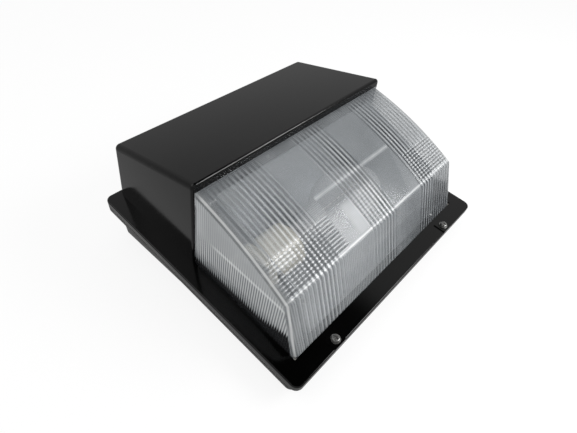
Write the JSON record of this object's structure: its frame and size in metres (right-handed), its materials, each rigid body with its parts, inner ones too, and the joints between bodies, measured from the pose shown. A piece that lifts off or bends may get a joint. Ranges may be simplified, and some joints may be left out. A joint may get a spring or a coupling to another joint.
{
  "type": "wall pack light",
  "caption": "Hinged outdoor wall light with a boxed ballast cover above a ribbed prismatic lens, captive cover screws and a wedge-shaped rear housing.",
  "frame": {"origin": "centre of the rear housing's flat rear face, on the wall", "axes": "+X along the length (to the right as seen from the front), +Y up the wall towards the hinge, +Z out of the wall"},
  "size_m": [0.401, 0.3759, 0.1831],
  "materials": {
    "cover_paint": "semi-gloss dark bronze powder coat",
    "housing_paint": "satin dark bronze powder coat",
    "prismatic_glass": "clear moulded glass with flutes and prisms",
    "silicone": "matt grey silicone",
    "zinc_steel": "bright zinc plate",
    "brass": "machined brass",
    "galvanised_steel": "galvanised sheet",
    "core_varnish": "dipped black varnish",
    "coil_tape": "amber varnished tape",
    "can_aluminium": "drawn aluminium can",
    "grey_plastic": "matt moulded plastic",
    "black_plastic": "matt black phenolic",
    "bright_aluminium": "bright dimpled sheet",
    "porcelain": "white glaze",
    "lamp_glass": "clear blown glass",
    "lead_insulation": "white silicone sleeve",
    "coil_lead_insulation": "black sleeve",
    "green_zinc": "green lacquer"
  },
  "bodies": {
    "housing": {"rear_housing": "housing_paint", "top_entry_plug": "housing_paint", "cover_gasket": "silicone", "threaded_inserts": "brass", "hinge_pins": "zinc_steel", "gear_plate": "galvanised_steel", "tray_screws": "zinc_steel", "ground_screw": "green_zinc", "ballast_core": "core_varnish", "ballast_coils": "coil_tape", "ballast_bolts": "zinc_steel", "capacitor": "can_aluminium", "capacitor_strap": "galvanised_steel", "ignitor": "grey_plastic", "terminal_block": "black_plastic", "terminal_screws": "brass", "reflector": "bright_aluminium", "reflector_screws": "zinc_steel", "lampholder_bracket": "galvanised_steel", "lampholder": "porcelain", "lampholder_screws": "zinc_steel", "lampholder_shell": "brass", "lamp_leads": "lead_insulation", "ballast_leads": "coil_lead_insulation"},
    "cover": {"front_cover": "cover_paint", "refractor": "prismatic_glass", "refractor_gasket": "silicone", "refractor_clips": "zinc_steel", "refractor_clip_screws": "zinc_steel", "screw_washers": "zinc_steel", "screw_retainers": "zinc_steel"},
    "screw_left": {"captive_screw_left": "zinc_steel"},
    "screw_right": {"captive_screw_right": "zinc_steel"},
    "lamp": {"lamp_base": "brass", "lamp_envelope": "lamp_glass", "lamp_stem": "lamp_glass", "lamp_arc_tube": "lamp_glass", "lamp_frame": "zinc_steel"}
  },
  "joints": [
    {"name": "cover_hinge", "type": "hinge", "parent": "housing", "child": "cover", "pos_m": [0, 0.18779, 0.06189], "axis": [-1, 0, 0], "range_deg": [0, 105]},
    {"name": "screw_left_turn", "type": "hinge", "parent": "cover", "child": "screw_left", "pos_m": [-0.1265, -0.17477, 0.03297], "axis": [0, -0.1132, 0.9936], "continuous": true},
    {"name": "screw_right_turn", "type": "hinge", "parent": "cover", "child": "screw_right", "pos_m": [0.1265, -0.17477, 0.03297], "axis": [0, -0.1132, 0.9936], "continuous": true},
    {"name": "lamp_turn", "type": "hinge", "parent": "housing", "child": "lamp", "pos_m": [0, -0.06766, 0.08664], "axis": [1, 0, 0], "continuous": true}
  ]
}
